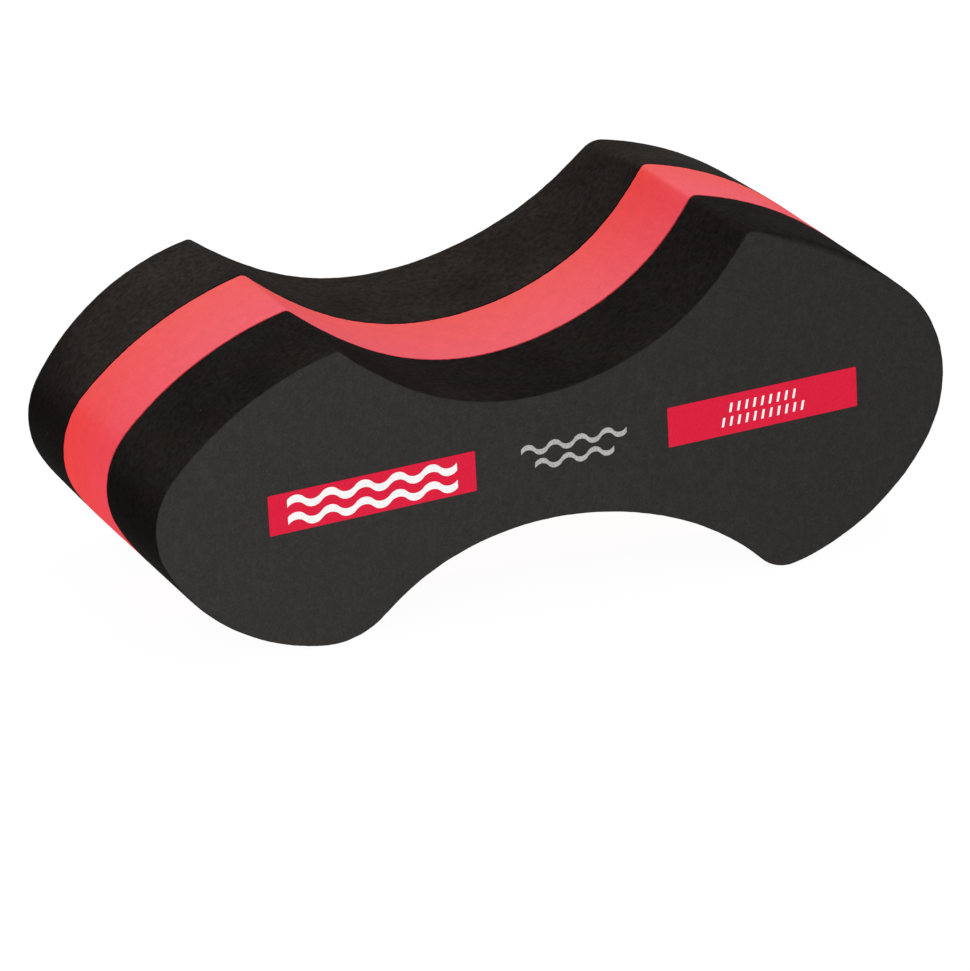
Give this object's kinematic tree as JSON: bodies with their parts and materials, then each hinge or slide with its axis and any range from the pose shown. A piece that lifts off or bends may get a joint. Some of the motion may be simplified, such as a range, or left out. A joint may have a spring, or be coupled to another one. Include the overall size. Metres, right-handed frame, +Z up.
{
  "type": "pull buoy",
  "caption": "Laminated foam pull buoy for swimming: rounded lobes of unequal size, joined by a narrow waist that is held between the thighs, with flat printed panels on the front face.",
  "frame": {"origin": "Under the middle of the buoy, on the surface that it stands on.", "axes": "+X along the buoy towards its large lobe, -Y out of the printed front face, +Z up with the buoy standing on the two lower ridges of its lobes."},
  "size_m": [0.2833, 0.1216, 0.12],
  "materials": {
    "black_foam": "closed-cell EVA foam, smooth moulded skin on the faces and finely pitted on the cut sides",
    "coral_foam": "closed-cell EVA foam, finely pitted cut surface",
    "adhesive": "dried contact adhesive, satin",
    "red_ink": "screen printed ink, satin",
    "white_ink": "screen printed ink, satin",
    "silver_ink": "screen printed silver ink, fine metallic grain"
  },
  "bodies": {
    "root": {"front_foam_slab": "black_foam", "centre_foam_slab": "coral_foam", "rear_foam_slab": "black_foam", "front_bond_film": "adhesive", "rear_bond_film": "adhesive", "left_print_panel": "red_ink", "right_print_panel": "red_ink", "left_panel_waves": "white_ink", "right_panel_ticks": "white_ink", "centre_wave_mark": "silver_ink"}
  },
  "joints": []
}
